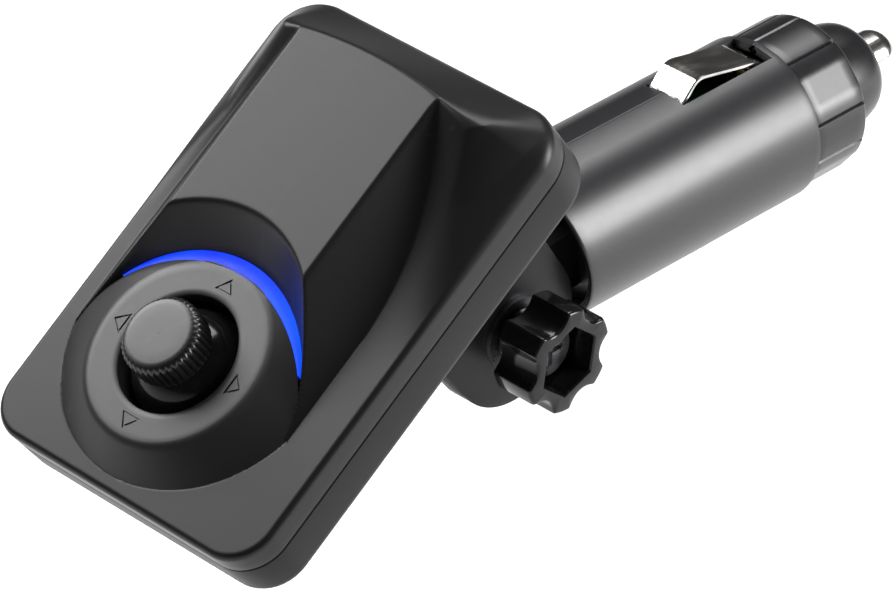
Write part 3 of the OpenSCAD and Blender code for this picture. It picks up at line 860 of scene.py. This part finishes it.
def rounded_path(corners, radius, steps=6):
    """A polyline whose corners are turned into short curves."""
    path = [Vector(corners[0])]
    for before, at, after in zip(corners, corners[1:], corners[2:]):
        before, at, after = Vector(before), Vector(at), Vector(after)
        back = min(radius, (before - at).length * 0.45)
        ahead = min(radius, (after - at).length * 0.45)
        start, end = at + (before - at).normalized() * back, at + (after - at).normalized() * ahead
        for k in range(steps + 1):
            t = k / steps
            path.append(start.lerp(at, t).lerp(at.lerp(end, t), t))
    path.append(Vector(corners[-1]))
    return path


def side_contact(name, node, body, flip):
    """A sprung strip, bent out of its slot to a ridge and back in at its tip."""
    width, thick, ease = 5.5, 0.6, 0.14
    corners = [(36.6, 7.2), (37.25, 7.5), (37.35, 8.7), (35.4, 10.05), (26.3, 12.0), (25.2, 11.75),
               (22.9, 9.35), (22.6, 8.3)]
    path = rounded_path(corners, 0.75)
    sections = []
    half_w, half_t = width / 2, thick / 2
    upper = [(half_w, half_t - ease), (half_w - ease, half_t),
             (-half_w + ease, half_t), (-half_w, half_t - ease)]
    corner = [(-w, -t) for w, t in upper] + upper
    for i, p in enumerate(path):
        ahead = path[min(i + 1, len(path) - 1)] - path[max(i - 1, 0)]
        normal = Vector((-ahead[1], ahead[0])).normalized()
        sections.append([(w, p[0] + normal[0] * t, flip * (p[1] + normal[1] * t)) for w, t in corner])
    points, faces = loft(sections, closed=False)
    faces += end_caps(points, len(sections[0]))
    piece = make_mesh(name, points, faces, ROW, 30)
    stand_for(piece, node, "nickel", body)


# ---- star knob --------------------------------------------------------------------

def thumb_knob():
    """A six-lobed knob with a hexagonal hollow in its face, on a short round hub."""
    back, front, hub_back = 9.85, 15.85, 7.8
    lobe_r, scallop_r, scallop_at, lobes = 6.55, 2.75, 7.95, 6
    first = math.radians(20)

    def star(a):
        """The star's radius: a circle with a scallop cut between lobes."""
        off = (a - first - math.pi / lobes) % (2 * math.pi / lobes)
        off = min(off, 2 * math.pi / lobes - off)
        across = scallop_at * math.sin(off)
        if across >= scallop_r:
            return lobe_r
        cut = scallop_at * math.cos(off) - math.sqrt(scallop_r ** 2 - across ** 2)
        return float(smooth_min(np.float64(lobe_r), np.float64(cut), 0.5))

    def hexagon(a, corner_r):
        """A hexagon's radius, from that of its corners."""
        off = (a - first) % (math.pi / 3) - math.pi / 6
        return corner_r * math.cos(math.pi / 6) / math.cos(off)

    bore, hollow = 2.1, 11.0
    # each ring's kind, its radius (for the star, what is added to it), and its place on the axis
    stations = [("round", bore, hub_back), ("round", 3.3, hub_back), ("round", 3.4, hub_back + 0.12),
                ("round", 3.4, back - 0.2), ("round", 3.6, back), ("star", -0.4, back),
                ("star", -0.12, back + 0.1), ("star", 0, back + 0.35), ("star", 0, (back + front) / 2),
                ("star", 0, front - 0.45), ("star", -0.08, front - 0.2), ("star", -0.22, front - 0.06),
                ("star", -0.42, front), ("hex", 4.55, front), ("hex", 4.42, front - 0.12),
                ("hex", 4.35, front - 0.3), ("hex", 4.25, hollow), ("round", bore, hollow)]
    rings = []
    for kind, value, along in stations:
        ring = []
        for a in angles(240):
            r = {"round": value, "star": star(a) + value, "hex": hexagon(a, value)}[kind]
            ring.append((r * math.cos(a), r * math.sin(a), along))
        rings.append(ring)
    piece = make_mesh("star_knob", *loft(rings), STAR, 38)
    stand_for(piece, "thumb_knob", "gloss_black", "clamp_knob")


front_cover()
joystick_bezel()
light_strip()
knob_cap()
knob_dome()
rear_cover()
barrel_half("barrel_shell_left", "barrel_left", -1)
barrel_half("barrel_shell_right", "barrel_right", 1)
nose_cap()
center_pin()
side_contact("contact_leaf_top", "side_contact_top", "leaf_top", 1)
side_contact("contact_leaf_bottom", "side_contact_bottom", "leaf_bottom", -1)
thumb_knob()

# ---- stage, light and camera -------------------------------------------------------

def stage():
    """A floor well below the object, so that no hard shadow shows behind it."""
    size, drop = 2.4, 0.06
    z = cad_low.z - drop
    corners = [(-size, -size, z), (size, -size, z), (size, size, z), (-size, size, z)]
    data = bpy.data.meshes.new("floor")
    data.from_pydata(corners, [], [(0, 1, 2, 3)])
    data.materials.append(floor_material())
    floor = bpy.data.objects.new("floor", data)
    bpy.context.scene.collection.objects.link(floor)


def softbox(name, direction, distance, size, power):
    """An area light that looks at the object from the given side."""
    lamp = bpy.data.lights.new(name, "AREA")
    lamp.shape = "RECTANGLE"
    lamp.size, lamp.size_y = size
    lamp.energy = power
    holder = bpy.data.objects.new(name, lamp)
    toward = Vector(direction).normalized()
    holder.location = (cad_low + cad_high) / 2 + toward * distance
    holder.rotation_mode = "QUATERNION"
    holder.rotation_quaternion = (-toward).to_track_quat("-Z", "Y")
    bpy.context.scene.collection.objects.link(holder)


def camera():
    """The photograph's viewpoint: a long lens, from the right, in front and above."""
    lens = bpy.data.cameras.new("camera")
    lens.lens = 245.86
    lens.sensor_width = 36
    lens.clip_start, lens.clip_end = 0.05, 20
    holder = bpy.data.objects.new("camera", lens)
    holder.location = (0.415117, -0.423070, 0.379676)
    holder.rotation_euler = [math.radians(a) for a in (56.8318, 0.1609, 45.2438)]
    bpy.context.scene.collection.objects.link(holder)
    bpy.context.scene.camera = holder


def world():
    """A faint even light from all sides."""
    sky = bpy.data.worlds.new("world")
    sky.use_nodes = True
    background = sky.node_tree.nodes["Background"]
    background.inputs["Color"].default_value = (1, 1, 1, 1)
    background.inputs["Strength"].default_value = 0.05
    bpy.context.scene.world = sky


stage()
softbox("key", (-0.74, -0.22, 0.64), 0.36, (0.22, 0.22), 1.25)
softbox("side", (0.75, 0.59, 0.3), 0.9, (0.3, 0.5), 9.5)
softbox("top", (-0.2, 0.5, 0.88), 1.1, (0.5, 0.5), 6.0)
camera()
world()
bpy.context.scene.view_settings.view_transform = "Standard"
